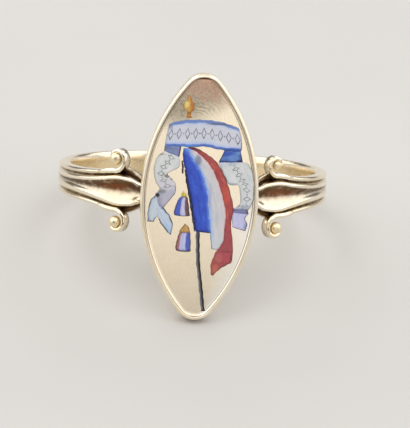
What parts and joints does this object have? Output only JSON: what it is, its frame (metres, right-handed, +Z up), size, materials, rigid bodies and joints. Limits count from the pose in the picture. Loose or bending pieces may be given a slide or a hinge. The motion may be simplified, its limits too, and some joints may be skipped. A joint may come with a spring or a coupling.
{
  "type": "navette ring",
  "caption": "Gold finger ring with fluted scroll shoulders and a navette tray holding a plaque painted with a furled flag and ribbon.",
  "frame": {"origin": "on the floor, under the middle of the bounding box, with the ring lying on its side as it rests by itself", "axes": "+Z up from the floor, -Y towards the navette, +X to the right as one looks at the navette; the finger's axis leans 21.5 degrees from +Z towards +Y"},
  "size_m": [0.0192, 0.022, 0.0161],
  "materials": {
    "gold": "polished yellow gold, softly worn",
    "pale_gold": "satin pale gold, finely scratched",
    "ribbon_enamel": "glossy fired enamel, pale lilac with blue borders",
    "blue_enamel": "glossy fired enamel",
    "white_enamel": "glossy fired enamel with pale blue strokes",
    "red_enamel": "glossy fired enamel",
    "dark_enamel": "glossy fired enamel",
    "amber_enamel": "glossy fired enamel",
    "tassel_enamel": "glossy fired enamel in three colours"
  },
  "bodies": {
    "root": {"ring": "gold", "plaque": "pale_gold", "ribbon_top": "ribbon_enamel", "ribbon_left": "ribbon_enamel", "ribbon_right": "ribbon_enamel", "flag_blue": "blue_enamel", "flag_white": "white_enamel", "flag_red": "red_enamel", "staff": "dark_enamel", "finial": "amber_enamel", "tassel_upper": "tassel_enamel", "tassel_lower": "tassel_enamel"}
  },
  "joints": []
}
